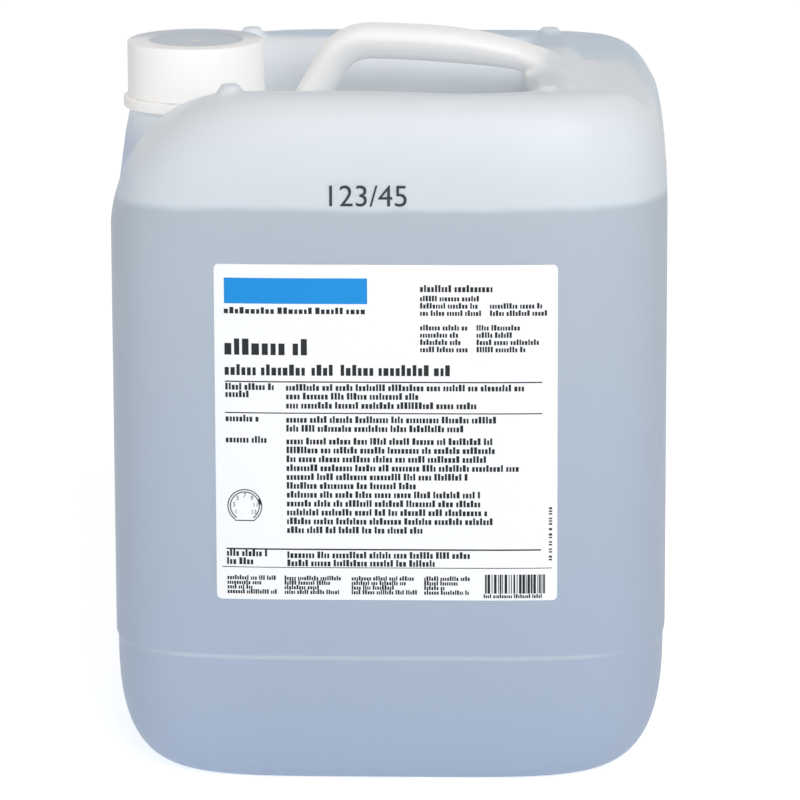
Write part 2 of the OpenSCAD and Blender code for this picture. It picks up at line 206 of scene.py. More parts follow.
PINCH_START, PINCH_END, PINCH_TRAY, PINCH_RIDGE = -70.0, -102.0, 17.0, 14.0
RIDGE_HALF = HALF_DEPTH - RIDGE_INSET
NUB_SHIFT, NUB_X, NUB_Y, NUB_RADIUS, NUB_TOP_RADIUS, NUB_HEIGHT = 1.2, 64.0, 75.0, 5.3, 3.5, 1.8
NUB_FLANK, NUB_ROOT = 2.7, 5.0
NECK_X, RING_SEAT, RIM_HEIGHT, MOUTH_RADIUS = -81.8, 269.6, 291.2, 20.5
PILLAR_HEIGHTS, PILLAR_RADII = (235.6, 258.0, RING_SEAT), (33.0, 29.9, 27.7)
FILL_HEIGHT = 243.0

# The handle: places are (x, z) and sizes are (thickness, width)
POST_START, HANDLE_CORNER = np.array([-45.5, 254.0]), np.array([-19.5, 297.0])
FAN_CORNER, FAN_STOP = np.array([66.0, 295.8]), np.array([77.0, 277.0])
POST_SIZE, BAR_SIZE = np.array([13.0, 27.0]), np.array([14.6, 22.0])
FAN_SIZE, THIN_SHARE, SPREAD_SHARE = np.array([9.5, 56.0]), 0.25, 0.65
HANDLE_BEND, HANDLE_SQUARE = 11.0, 2.6
FACET_TOP, FACET_LEAN = (63.0, 293.0), 0.8

# Softness of the joins between the can's forms, and where it changes
END_BLEND, CREST_BLEND, CREST_MARGIN, CHANNEL_BLEND = 9.0, 1.2, 4.0, 6.0
PILLAR_BLEND, WALL_BLEND, PILLAR_BLEND_X, WALL_BLEND_X = 12.0, 1.0, -98.0, -112.0
HANDLE_BLEND, FACET_BLEND, SEAT_BLEND, NUB_BLEND, NUB_EDGE_BLEND = 4.0, 1.2, 0.8, 1.0, 0.4
POCKET_FILLET, FILLET_START, FILLET_END = 10.0, POCKET_END - 22, POCKET_END + 3
FILLET_TOP, FILLET_BOTTOM = 288.0, 284.0
print("can:", 2 * HALF_WIDTH, "x", 2 * HALF_DEPTH, "x", RIDGE_HEIGHT, "mm to the ridges")


# %% Field of the walls, tray and channel
PROBE, LEAST_REACH, LEAST_BLEND = 0.2, 0.05, 1e-6


def eased(start, end, value):
    """Smooth rise from 0 to 1 as a value runs from start to end."""
    t = np.clip((value - start) / (end - start), 0, 1)
    return t * t * (3 - 2 * t)


def round_in(share, square):
    """How far in a rounding has gone at a share of its height."""
    return 1 - (1 - share ** square) ** (1 / square)


def soft_max(a, b, blend):
    """The larger of two fields, with their edge rounded over a blend."""
    over = np.maximum(blend - np.abs(a - b), 0)
    return np.maximum(a, b) + over * over / (4 * np.maximum(blend, LEAST_BLEND))


def soft_min(a, b, blend):
    """The smaller of two fields, with their corner filled over a blend."""
    return -soft_max(-a, -b, blend)


def oval_distance(u, v, half_u, half_v, square):
    """Distance outside a superellipse with two half sizes, from a place in its first quarter."""
    a, b = u / half_u, v / half_v
    reach = np.maximum((a ** square + b ** square) ** (1 / square), LEAST_REACH)
    slope = np.hypot((a / reach) ** (square - 1) / half_u, (b / reach) ** (square - 1) / half_v)
    return (reach - 1) / slope


def outline_distance(x, y, z):
    """Horizontal distance outside the can's outline at a height."""
    foot = np.clip(1 - z / CREASE_HEIGHT, 0, 1)
    top = np.clip((z - SHOULDER_BASE) / SHOULDER_HEIGHT, 0, 1)
    step = CREASE_STEP * (1 - np.clip((z - CREASE_HEIGHT) / CREASE_RISE, 0, 1))
    end = np.where(
        x < 0,
        SPOUT_END_ROUND * round_in(top, SPOUT_SQUARE),
        HANDLE_END_ROUND * round_in(top, HANDLE_END_SQUARE),
    )
    across = HALF_WIDTH - step - FOOT_END_ROUND * round_in(foot, EDGE_SQUARE) - end
    deep = HALF_DEPTH - step - FOOT_SIDE_ROUND * round_in(foot, TOE_SQUARE)
    deep = deep - RIDGE_INSET * round_in(top, EDGE_SQUARE)
    return oval_distance(np.abs(x), np.abs(y), across, deep, PLAN_SQUARE)


def side_field(x, y, z):
    """Distance outside the walls, shoulders and foot."""
    level = outline_distance(x, y, z)
    lean = outline_distance(x, y, z + PROBE) - outline_distance(x, y, z - PROBE)
    lean = lean / (2 * PROBE)
    return np.maximum(level / np.sqrt(1 + lean * lean), z - RIDGE_HEIGHT)


def tray_height(x, y):
    """Height of the saddle between the ridges, with the bridge that the handle runs out on."""
    foot = BRIDGE_FOOT + BRIDGE_SPLAY * np.minimum(np.abs(y), TRAY_HALF)
    drop = (
        BRIDGE_DEPTH
        + (TRAY_DEPTH - BRIDGE_DEPTH) * eased(foot - BRIDGE_FALL, foot, x)
        + (POCKET_DEPTH - BRIDGE_DEPTH) * eased(POCKET_END + POCKET_RAMP, POCKET_END, x)
        + (SPOUT_DEPTH - POCKET_DEPTH) * eased(SPOUT_FALL_START, SPOUT_FALL_END, x)
    )
    pinch = eased(PINCH_START, PINCH_END, x)
    floor_half, crest_half = TRAY_HALF - PINCH_TRAY * pinch, RIDGE_HALF - PINCH_RIDGE * pinch
    share = 1 - np.maximum(np.abs(y) - floor_half, 0) / (crest_half - floor_half)
    sag = RIDGE_SAG * np.exp(-((x - SAG_MIDDLE) / SAG_REACH) ** 2)
    return RIDGE_HEIGHT - sag - drop * np.sign(share) * share * share


def tray_field(x, y, z):
    """Distance above the tray's surface."""
    height = tray_height(x, y)
    along = (tray_height(x + PROBE, y) - height) / PROBE
    across = (tray_height(x, y + PROBE) - height) / PROBE
    return (z - height) / np.sqrt(1 + along * along + across * across)


def channel_field(y, z):
    """Distance outside the stacking channel under the base."""
    slope = CHANNEL_FLANK / CHANNEL_DEPTH
    flank = (np.abs(y) - CHANNEL_HALF - slope * (CHANNEL_DEPTH - z)) / math.hypot(1, slope)
    return np.maximum(z - CHANNEL_DEPTH, flank)


print("tray:", 2 * TRAY_HALF, "mm wide between ridges", 2 * RIDGE_HALF, "mm apart")


# %% Field of the handle, the neck's pillar and the nubs
def curve(a, corner, b, steps):
    """Points of a quadratic curve from a to b that leans towards a corner."""
    t = np.linspace(0, 1, steps)[:, None]
    return a * (1 - t) ** 2 + corner * 2 * t * (1 - t) + b * t * t


POST_STEPS, BAR_STEPS = 24, 80
FAR, CHUNK = 60.0, 20000
ROOM_LEFT, ROOM_RIGHT, ROOM_HALF, ROOM_LOW, ROOM_HIGH = -75, 125, 50, 235, 325

lean_way = (HANDLE_CORNER - POST_START) / np.linalg.norm(HANDLE_CORNER - POST_START)
bend_start = HANDLE_CORNER - lean_way * HANDLE_BEND
bend_end = HANDLE_CORNER + (HANDLE_BEND, 0)
handle_line = np.concatenate([
    POST_START + (bend_start - POST_START) * np.linspace(0, 1, POST_STEPS)[:-1, None],
    curve(bend_start, HANDLE_CORNER, bend_end, POST_STEPS)[:-1],
    curve(bend_end, FAN_CORNER, FAN_STOP, BAR_STEPS),
])
to_foot = eased(HANDLE_CORNER[0], POST_START[0], handle_line[:, 0])[:, None]
to_fan = np.stack([
    eased(FAN_STOP[0] * share, FAN_STOP[0], handle_line[:, 0])
    for share in (THIN_SHARE, SPREAD_SHARE)
], 1)
handle_size = (BAR_SIZE + (POST_SIZE - BAR_SIZE) * to_foot + (FAN_SIZE - BAR_SIZE) * to_fan) / 2


def handle_field(x, y, z):
    """Distance outside the handle, with a plain far value away from it."""
    found = np.full(x.shape, FAR)
    near = (x > ROOM_LEFT) & (x < ROOM_RIGHT) & (np.abs(y) < ROOM_HALF)
    near = near & (z > ROOM_LOW) & (z < ROOM_HIGH)
    px, py, pz = x[near], np.abs(y[near]), z[near]
    values = np.empty(px.shape)
    for start in range(0, len(px), CHUNK):
        part = slice(start, start + CHUNK)
        gap = (px[part, None] - handle_line[:, 0]) ** 2 + (pz[part, None] - handle_line[:, 1]) ** 2
        station = gap.argmin(1)
        thick, wide = handle_size[station].T
        off_line = np.sqrt(gap[np.arange(len(station)), station])
        values[part] = oval_distance(off_line, py[part], thick, wide, HANDLE_SQUARE)
    facet = px - FACET_TOP[0] - BRIDGE_SPLAY * py + (pz - FACET_TOP[1]) * FACET_LEAN
    found[near] = soft_max(values, facet / math.hypot(1, FACET_LEAN), FACET_BLEND)
    return found


def pillar_field(x, y, z):
    """Distance outside the two cones that carry the neck."""
    cone = np.hypot(x - NECK_X, y) - np.interp(z, PILLAR_HEIGHTS, PILLAR_RADII)
    return np.maximum(soft_max(cone, z - RING_SEAT, SEAT_BLEND), PILLAR_HEIGHTS[0] - z)


def nub_field(x, y, z):
    """Distance outside the four flat-topped nubs on the ridges."""
    slope = (NUB_RADIUS - NUB_TOP_RADIUS) / NUB_FLANK
    radius = np.minimum(NUB_TOP_RADIUS + slope * (RIDGE_HEIGHT + NUB_HEIGHT - z), NUB_RADIUS)
    off_axis = np.hypot(np.abs(x - NUB_SHIFT) - NUB_X, np.abs(y) - NUB_Y)
    side = (off_axis - radius) / math.hypot(1, slope)
    peg = soft_max(side, z - RIDGE_HEIGHT - NUB_HEIGHT, NUB_EDGE_BLEND)
    return np.maximum(peg, RIDGE_HEIGHT - NUB_ROOT - z)


def can_field(x, y, z):
    """Distance outside the can's plastic, as one smooth moulding."""
    to_crest = eased(TRAY_HALF + CREST_MARGIN, RIDGE_HALF - CREST_MARGIN, np.abs(y))
    ends = END_BLEND + (CREST_BLEND - END_BLEND) * to_crest
    can = soft_max(side_field(x, y, z), tray_field(x, y, z), ends)
    can = np.maximum(soft_max(can, -channel_field(y, z), CHANNEL_BLEND), -z)
    spout = WALL_BLEND + (PILLAR_BLEND - WALL_BLEND) * eased(WALL_BLEND_X, PILLAR_BLEND_X, x)
    can = soft_min(can, pillar_field(x, y, z), spout)
    fillet = POCKET_FILLET * eased(FILLET_START, FILLET_END, x)
    fillet = fillet * eased(FILLET_TOP, FILLET_BOTTOM, z)
    can = soft_min(can, handle_field(x, y, z), HANDLE_BLEND + fillet)
    return soft_min(can, nub_field(x, y, z), NUB_BLEND)


print("handle line:", len(handle_line), "stations")

# %% [markdown]
# ## From the field to a mesh
#
# The field is sampled on a grid whose planes lie close where the shape is fine, such as at
# the crease above the foot, and far apart on the plain wall. A volume library turns the
# grid into quads, and each point is then moved along its normal to where the field is
# exactly zero. The same steps with the wall's thickness taken off give the inside.

# %% Mesh of a field
REACH, HALVINGS = 3.0, 18


def planes(*spans):
    """Grid planes through spans of (end, spacing), starting at the first span's end."""
    found = [spans[0][0]]
    for end, spacing in spans[1:]:
        count = max(1, round((end - found[-1]) / spacing))
        found.extend(np.linspace(found[-1], end, count + 1)[1:])
    return np.array(found, float)


def field_mesh(name, field, xs, ys, zs):
    """Closed quad mesh where a field is zero, in millimetres, moved exactly on to it."""
    x, y, z = (g.ravel() for g in np.meshgrid(xs, ys, zs, indexing="ij"))
    values = field(x, y, z).reshape(len(xs), len(ys), len(zs))
    grid = openvdb.FloatGrid(background=REACH)
    grid.copyFromArray(np.clip(values, -REACH, REACH).astype(np.float32))
    points, quads = grid.convertToQuads(isovalue=0.0)
    places = np.stack([
        np.interp(points[:, i], np.arange(len(p)), p) for i, p in enumerate((xs, ys, zs))
    ], 1)
    mesh = bpy.data.meshes.new(name)
    mesh.from_pydata(places.tolist(), [], quads.tolist())
    mesh.update()
    normals = np.empty(len(places) * 3, np.float32)
    mesh.vertices.foreach_get("normal", normals)
    normals = normals.reshape(-1, 3).astype(float)
    if np.mean(field(*(places + normals).T)) < np.mean(field(*(places - normals).T)):
        mesh.flip_normals()
        normals = -normals
    low, high = places - normals * REACH, places + normals * REACH
    crosses = (field(*low.T) < 0) & (field(*high.T) > 0)
    for _ in range(HALVINGS):
        middle = (low + high) / 2
        outside = field(*middle.T) > 0
        high[outside], low[~outside] = middle[outside], middle[~outside]
    places[crosses] = ((low + high) / 2)[crosses]
    mesh.vertices.foreach_set("co", places.astype(np.float32).ravel())
    mesh.update()
    return mesh


across = planes((-119,), (-72, 2.4), (-56, 1.3), (50, 2.4), (84, 1.3), (119, 2.4))
deep = planes((-102,), (-84, 2.4), (-68, 1.3), (68, 2.4), (84, 1.3), (102, 2.4))
upright = planes(
    (-4,), (30, 2.2), (52, 2.6), (55, 1.0), (59, 0.5), (64, 1.6), (222, 5.5), (240, 2.4), (309, 1.3)
)
outer_mesh = field_mesh("canister_outside", can_field, across, deep, upright)
print("outside:", len(outer_mesh.vertices), "points,", len(outer_mesh.polygons), "faces")


# %% Inside of the wall
def inside_field(x, y, z):
    """Distance outside the hollow, one wall's thickness inside the can."""
    return can_field(x, y, z) + WALL


across = planes((-119,), (119, 4.0))
deep = planes((-102,), (102, 4.0))
upright = planes((-4,), (60, 4.0), (220, 8.0), (309, 3.0))
inner_mesh = field_mesh("canister_inside", inside_field, across, deep, upright)
inner_mesh.flip_normals()
print("inside:", len(inner_mesh.vertices), "points,", len(inner_mesh.polygons), "faces")

# %% [markdown]
# ## One shell, open at the neck
#
# The outside and the inside are joined into one shell. Where the neck stands, a round hole
# goes through the top of the pillar, and its two edges are bridged, so that the shell is
# one closed skin with the mouth as its only way in.

# %% Join the shell
HOLE_RADIUS, SEAT_THICKNESS = 22.2, 4.0


def over_hole(place):
    """Whether a place lies on the plate that closes the neck's pillar, within the hole."""
    within = math.hypot(place.x - NECK_X, place.y) < HOLE_RADIUS
    return within and place.z > RING_SEAT - SEAT_THICKNESS


shell = bmesh.new()
for source in (outer_mesh, inner_mesh):
    shell.from_mesh(source)
plate = [f for f in shell.faces if over_hole(f.calc_center_median())]
bmesh.ops.delete(shell, geom=plate, context="FACES")
edges = [e for e in shell.edges if e.is_boundary]
for v in {v for e in edges for v in e.verts}:
    away = math.hypot(v.co.x - NECK_X, v.co.y)
    v.co.x = NECK_X + (v.co.x - NECK_X) * HOLE_RADIUS / away
    v.co.y = v.co.y * HOLE_RADIUS / away
bmesh.ops.bridge_loops(shell, edges=edges)
bmesh.ops.scale(shell, vec=(MM, MM, MM), verts=shell.verts)
print("shell:", len(shell.faces), "faces,", sum(e.is_boundary for e in shell.edges), "open edges")


def piece(name, made, body, material, slot, *stands_for, sharp=None):
    """Turns a bmesh, in metres, into a piece that rides on a body in place of its solids."""
    mesh = bpy.data.meshes.new(name)
    made.to_mesh(mesh)
    made.free()
    mesh.shade_smooth()
    if sharp:
        mesh.set_sharp_from_angle(angle=math.radians(sharp))
    mesh.materials.append(material)
    thing = bpy.data.objects.new(name, mesh)
    bpy.context.scene.collection.objects.link(thing)
    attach(thing, body)
    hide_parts(*stands_for)


# %% [markdown]
# ## Natural polyethylene, blow-moulded
#
# The plastic has no pigment, so it is milky white over air and takes the fluid's pale blue
# below its surface. Light goes some millimetres into it, which softens every edge. The
# mould was sand-blasted, so the skin has a faint grain and a satin gloss. The tint follows
# the height on the can, with a soft line that wavers a little where the fluid wets the wall.
# The hollow handle is whiter, and painted shade darkens its faces as they turn down. The
# crest of the rear ridge, where it faces up, the upper right end and the upper left end are
# painted bluer and darker: painted shade. The step of the crease is a thin pale line along
# the front: a painted highlight. Some light wanders through the thin wall and leaves it again
# in the shade: a weak glow, which is painted light, stands for that, a little stronger in the
# tray and under the handle.

# %% Places and masks on the can's skin
CLOUD_SIZE, GRAIN_SIZE, LINE_WAVER, FAR_END_SLANT = 60.0, 1.6, 1.5, 0.16


def region(tree, *limits):
    """A mask that rises to 1 across each limit of (socket, where it is 0, where it is 1)."""
    found = 1.0
    for socket, nothing, full in limits:
        rise = add(tree, "ShaderNodeMapRange", {
            "Value": socket, "From Min": nothing, "From Max": full,
        }, interpolation_type="SMOOTHSTEP").outputs[0]
        found = add(tree, "ShaderNodeMath", {0: rise, 1: found}, operation="MULTIPLY").outputs[0]
    return found


natural_hdpe, tree, out = blank_material("natural_hdpe_blow_moulded")
place = add(tree, "ShaderNodeTexCoord").outputs["Object"]
cloud = add(tree, "ShaderNodeTexNoise", {
    "Vector": place, "Scale": 1 / (CLOUD_SIZE * MM), "Detail": 2.0,
}).outputs[0]
grain = add(tree, "ShaderNodeTexNoise", {
    "Vector": place, "Scale": 1 / (GRAIN_SIZE * MM), "Detail": 3.0,
}).outputs[0]
in_mm = add(tree, "ShaderNodeVectorMath", {0: place, "Scale": 1 / MM}, operation="SCALE").outputs[0]
spot_x, spot_y, spot_z = add(tree, "ShaderNodeSeparateXYZ", {0: in_mm}).outputs
waver = add(tree, "ShaderNodeMapRange", {
    "Value": cloud, "From Min": 0.3, "From Max": 0.7, "To Min": -LINE_WAVER, "To Max": LINE_WAVER,
}).outputs[0]
height = add(tree, "ShaderNodeMath", {0: spot_z, 1: waver}, operation="ADD").outputs[0]
sideways = add(tree, "ShaderNodeMath", {0: spot_y}, operation="ABSOLUTE").outputs[0]
normal = add(tree, "ShaderNodeNewGeometry").outputs["Normal"]
upward_share = add(tree, "ShaderNodeSeparateXYZ", {0: normal}).outputs["Z"]

# Limits are in millimetres on the can, or in shares of facing up
grip_box = ((sideways, 24, 12), (height, 262, 276), (spot_x, -52, -46), (spot_x, 68, 60))
tray_box = ((sideways, 42, 56), (sideways, 76, 70), (height, 268, 283), (spot_x, 62, 50))
grip, tray = region(tree, *grip_box), region(tree, *tray_box)
# Places of a painted glow: under the handle's bar, behind it and at the spout's end.
under_bar = region(tree, *grip_box, (upward_share, 0.1, -0.6))
behind_bar = region(tree, *tray_box, (spot_x, -40, -10))
spout_end = region(tree, (spot_x, -40, -115))
# Painted shade: a bluer, darker band on the upper left end of the can.
spout_edge_shade = region(tree, (spot_x, -98, -113), (height, 238, 250), (height, 272, 256))
# Painted shade: the crest of the rear ridge, where it faces up, and the upper right end are tinted
# bluer and darker.
shaded_crest_box = ((spot_y, 48, 58), (height, 276, 280), (spot_z, 290.2, 289.2))
flat_crest_shade = region(tree, *shaded_crest_box, (upward_share, 0.8, 0.92))
far_crest_shade = region(tree, *shaded_crest_box, (spot_x, 40, 60))
slant = add(tree, "ShaderNodeMath", {
    0: spot_y, 1: FAR_END_SLANT, 2: spot_x,
}, operation="MULTIPLY_ADD").outputs[0]
far_end_shade = region(tree, (slant, 101, 109), (spot_y, -60, -30), (height, 262, 272))
crest = flat_crest_shade
for mask in (far_crest_shade, far_end_shade):
    crest = add(tree, "ShaderNodeMath", {0: crest, 1: mask}, operation="MAXIMUM").outputs[0]
# Painted highlight: a thin pale line on the crease's step along the front.
crease_step = ((spot_z, 55.4, 56.4), (spot_z, 58.2, 57.2))
front_wall = ((spot_y, -60, -80), (spot_x, -106, -80), (spot_x, 106, 80))
crease_highlight = region(tree, *crease_step, *front_wall)
# Place of a weak painted glow on the plateau at the right end.
plateau = region(tree, (sideways, 56, 48), (height, 275, 279), (spot_x, 68, 78), (spot_x, 106, 98))
print("masks:", len(tree.nodes), "nodes")

# %% Material of the can
HAZE, SURFACE_SOFT, WALL_GLOW, PLASTIC_IOR = 0.25, 2.0, 0.16, 1.54

depth = add(tree, "ShaderNodeMapRange", {"Value": height, "From Max": FILL_HEIGHT})
fluid_tint = add(tree, "ShaderNodeValToRGB", {0: depth.outputs[0]})
fluid_tint.color_ramp.elements[0].color = linear("#98A7BC")
fluid_tint.color_ramp.elements[1].color = linear("#A6B0BA")
air = add(tree, "ShaderNodeMapRange", {
    "Value": height, "From Min": FILL_HEIGHT, "From Max": RIDGE_HEIGHT,
}).outputs[0]
hazy = add(tree, "ShaderNodeMix", {"Factor": cloud, "A": HAZE, "B": -HAZE}).outputs[0]
air = add(tree, "ShaderNodeMath", {0: air, 1: hazy}, operation="ADD", use_clamp=True).outputs[0]
milky = add(tree, "ShaderNodeMix", {
    "Factor": air, 6: linear("#C2CAD0"), 7: linear("#CFD3D7"),
}, data_type="RGBA").outputs[2]
above = region(tree, (height, FILL_HEIGHT - SURFACE_SOFT, FILL_HEIGHT + SURFACE_SOFT))
# Painted shade on the handle: its colour darkens as its faces turn down.
lit_side = region(tree, (upward_share, -0.5, 0.7))
grip_painted_shading = add(tree, "ShaderNodeMix", {
    "Factor": lit_side, 6: linear("#C6C7C9"), 7: linear("#F2F1EF"),
}, data_type="RGBA").outputs[2]
tint = fluid_tint.outputs[0]
# Mixed in here: the painted shade of the crest and the left end, the painted highlight of the
# crease, and the handle's painted shading.
for mask, colour in (
    (above, milky), (crest, linear("#BCC7D2")), (spout_edge_shade, linear("#AEB8CA")),
    (crease_highlight, linear("#AEB9C6")), (grip, grip_painted_shading),
):
    tint = add(tree, "ShaderNodeMix", {
        "Factor": mask, 6: tint, 7: colour,
    }, data_type="RGBA").outputs[2]
# Painted light: an emission glow lifts the shaded places, more in the tray, behind and under the
# handle's bar, at the spout's end and on the plateau.
painted_glow = WALL_GLOW
for mask, strength in (
    (tray, 0.15), (behind_bar, 0.27), (under_bar, 0.22), (spout_end, 0.12), (plateau, 0.05),
):
    painted_glow = add(tree, "ShaderNodeMath", {
        0: mask, 1: strength, 2: painted_glow,
    }, operation="MULTIPLY_ADD").outputs[0]
gloss = add(tree, "ShaderNodeMapRange", {"Value": grain, "To Min": 0.36, "To Max": 0.48})
bump = add(tree, "ShaderNodeBump", {"Height": grain, "Strength": 0.12, "Distance": 0.2 * MM})
skin = add(tree, "ShaderNodeBsdfPrincipled", {
    "Base Color": tint, "Roughness": gloss.outputs[0], "Normal": bump.outputs[0],
    "IOR": PLASTIC_IOR, "Emission Color": tint, "Emission Strength": painted_glow,
    "Specular IOR Level": 0.35, "Subsurface Weight": 0.35, "Subsurface Radius": (1.0, 1.0, 1.0),
    "Subsurface Scale": 4 * MM,
})
tree.links.new(skin.outputs[0], out.inputs[0])

piece("canister_shell", shell, "can", natural_hdpe, "natural_hdpe", "canister_body")
print("canister_shell made of", natural_hdpe.name)

# %% [markdown]
# ## Turned profiles and threads
#
# The neck, cap, tamper ring and seal are round, so each is a profile turned round the
# neck's axis. Real mouldings have no knife edges, so each corner of a profile carries its
# own radius. A thread is a small ridge that winds up a cylinder: a six-millimetre rise for
# each turn, as the cap's joint has, and ends that sink into the wall.

# %% Lathe and thread
TURN_STEPS = 96
PITCH, THREAD_FOOT, THREAD_CREST, THREAD_SINK, THREAD_FADE = 6.0, 2.5, 1.1, 0.3, 12


def round_neck(r, angle, z):
    """Point in metres at a radius, an angle and a height round the neck, in millimetres."""
    return (NECK_X + r * math.cos(angle)) * MM, r * math.sin(angle) * MM, z * MM


def softened(points, steps=4):
    """Profile of (radius, height, rounding) corners as points with each corner rounded."""
    found = []
    for k, (r, z, soft) in enumerate(points):
        here = np.array((r, z))
        if soft == 0:
            found.append(here)
            continue
        before, after = (np.array(points[(k + d) % len(points)][:2]) - here for d in (-1, 1))
        a, b = (here + side * soft / np.linalg.norm(side) for side in (before, after))
        found.extend(curve(a, here, b, steps + 1))
    return found


def lathe(points, closed):
    """Bmesh of a profile turned round the neck's axis, closed as a ring or on the axis."""
    made, rings = bmesh.new(), []
    for r, z in softened(points):
        turns = np.arange(TURN_STEPS if r > 0 else 1) * 2 * math.pi / TURN_STEPS
        rings.append([made.verts.new(round_neck(r, a, z)) for a in turns])
    for one, two in zip(rings, rings[1:] + rings[:1] if closed else rings[1:]):
        for k in range(TURN_STEPS):
            around = ((one, k), (one, k + 1), (two, k + 1), (two, k))
            corners = list(dict.fromkeys(ring[n % len(ring)] for ring, n in around))
            if len(corners) > 2:
                made.faces.new(corners)
    bmesh.ops.recalc_face_normals(made, faces=made.faces)
    return made


def tube(made, rows):
    """Adds a closed tube through rows of four points."""
    for one, two in zip(rows, rows[1:]):
        for k in range(4):
            made.faces.new((one[k], two[k], two[(k + 1) % 4], one[(k + 1) % 4]))
    made.faces.new(rows[0])
    made.faces.new(rows[-1][::-1])


def thread(made, root, crest, low, turns, phase):
    """Adds a winding ridge from a root radius to a crest radius, with ends that fade out."""
    steps, rows = int(turns * TURN_STEPS), []
    sink = THREAD_SINK if root > crest else -THREAD_SINK
    for k in range(steps + 1):
        angle = 2 * math.pi * k / TURN_STEPS + phase
        grown = min(1.0, THREAD_FADE * min(k, steps - k) / TURN_STEPS)
        z = low + PITCH * k / TURN_STEPS
        base = root + sink
        tip = root + sink / 2 + (crest - root - sink / 2) * grown
        section = (
            (base, -THREAD_FOOT), (tip, -THREAD_CREST), (tip, THREAD_CREST), (base, THREAD_FOOT),
        )
        rows.append([made.verts.new(round_neck(r, angle, z + h / 2)) for r, h in section])
    tube(made, rows)
    bmesh.ops.recalc_face_normals(made, faces=made.faces)


print("lathe and thread ready, pitch", PITCH, "mm")

# %% [markdown]
# ## The neck
#
# Above its seat the neck narrows to a groove for the tamper ring, a bead that holds the ring
# down, and a threaded tube. It is one moulding with the can, so it has the can's plastic.

# %% Neck with its bead and thread
GROOVE_RADIUS, BEAD_RADIUS, ROOT_RADIUS, CREST_RADIUS = 26.5, 27.8, 24.0, 25.4
BEAD_BOTTOM, BEAD_TOP, CONE_TOP = 271.4, 272.4, 276.2
SLEEVE_RADIUS, SLEEVE_BOTTOM = HOLE_RADIUS + 0.3, RING_SEAT - 6
NECK_THREAD_LOW, NECK_TURNS = 279.0, 1.6

neck = lathe([
    (MOUTH_RADIUS, SLEEVE_BOTTOM, 0.4), (SLEEVE_RADIUS, SLEEVE_BOTTOM, 0.4),
    (SLEEVE_RADIUS, RING_SEAT - 0.6, 0), (GROOVE_RADIUS, RING_SEAT - 0.3, 0.2),
    (GROOVE_RADIUS, BEAD_BOTTOM, 0.2), (BEAD_RADIUS, BEAD_BOTTOM, 0.3),
    (BEAD_RADIUS, BEAD_TOP, 0.4), (ROOT_RADIUS, CONE_TOP, 1.5),
    (ROOT_RADIUS, RIM_HEIGHT, 0.6), (MOUTH_RADIUS, RIM_HEIGHT, 0.6),
], closed=True)
thread(neck, ROOT_RADIUS, CREST_RADIUS, NECK_THREAD_LOW, NECK_TURNS, 0.0)
piece("neck_finish", neck, "can", natural_hdpe, "natural_hdpe", "canister_body", sharp=40)
print("neck_finish: thread of", NECK_TURNS, "turns")

# %% [markdown]
# ## White polyethylene, injection-moulded
#
# The cap and ring are pigmented white, a little warm, and come from a polished mould: they
# are smoother than the can, with a broad soft highlight. Flow in the mould leaves very faint
# clouds in the white. The recess floor and the rear of the rim, which face up, are greyed:
# painted shade. A weak glow, which is painted light, brightens the white.

# %% Material of the closure
CAP_RADIUS, CAP_BORE, CAP_BOTTOM, CAP_CEILING, CAP_TOP = 28.6, 26.0, 274.6, 293.2, 297.5
RECESS_RADIUS, RECESS_SLOPE, RECESS_DEPTH, CAP_ROUND = 20.5, 2.5, 0.8, 1.3
FLOW_SIZE, FINE_SIZE, CLOSURE_GLOW = 14.0, 0.9, 0.08

white_hdpe, tree, out = blank_material("white_hdpe_injection_moulded")
place = add(tree, "ShaderNodeTexCoord").outputs["Object"]
flow, fine = (
    add(tree, "ShaderNodeTexNoise", {
        "Vector": place, "Scale": 1 / (size * MM), "Detail": 2.0,
    }).outputs[0]
    for size in (FLOW_SIZE, FINE_SIZE)
)
white = add(tree, "ShaderNodeMix", {
    "Factor": flow, 6: linear("#FBF8F6"), 7: linear("#FFFDFB"),
}, data_type="RGBA").outputs[2]
in_mm = add(tree, "ShaderNodeVectorMath", {0: place, "Scale": 1 / MM}, operation="SCALE").outputs[0]
axis = add(tree, "ShaderNodeMapping", {
    "Vector": in_mm, "Location": (-NECK_X, 0, 0), "Scale": (1, 1, 0),
}).outputs[0]
away = add(tree, "ShaderNodeVectorMath", {0: axis}, operation="LENGTH").outputs["Value"]
spot = add(tree, "ShaderNodeSeparateXYZ", {0: in_mm}).outputs
normal = add(tree, "ShaderNodeNewGeometry").outputs["Normal"]
upward_share = add(tree, "ShaderNodeSeparateXYZ", {0: normal}).outputs["Z"]
top_face = ((spot["Z"], CAP_CEILING + 0.6, CAP_CEILING + 1.0), (upward_share, 0.7, 0.95))
# Painted shade: the recess floor and the rear of the top, which face up, are greyed.
middle = region(tree, (away, RECESS_RADIUS + 0.1, RECESS_RADIUS - 1.1), *top_face)
rear_painted_shade = region(tree, (spot["Y"], -8, 16), *top_face)
plate = add(tree, "ShaderNodeMath", {0: middle, 1: rear_painted_shade}, operation="MAXIMUM").outputs[0]
white = add(tree, "ShaderNodeMix", {
    "Factor": plate, 6: white, 7: linear("#C2C9D4"),
}, data_type="RGBA").outputs[2]
gloss = add(tree, "ShaderNodeMapRange", {"Value": fine, "To Min": 0.34, "To Max": 0.44})
bump = add(tree, "ShaderNodeBump", {"Height": fine, "Strength": 0.06, "Distance": 0.1 * MM})
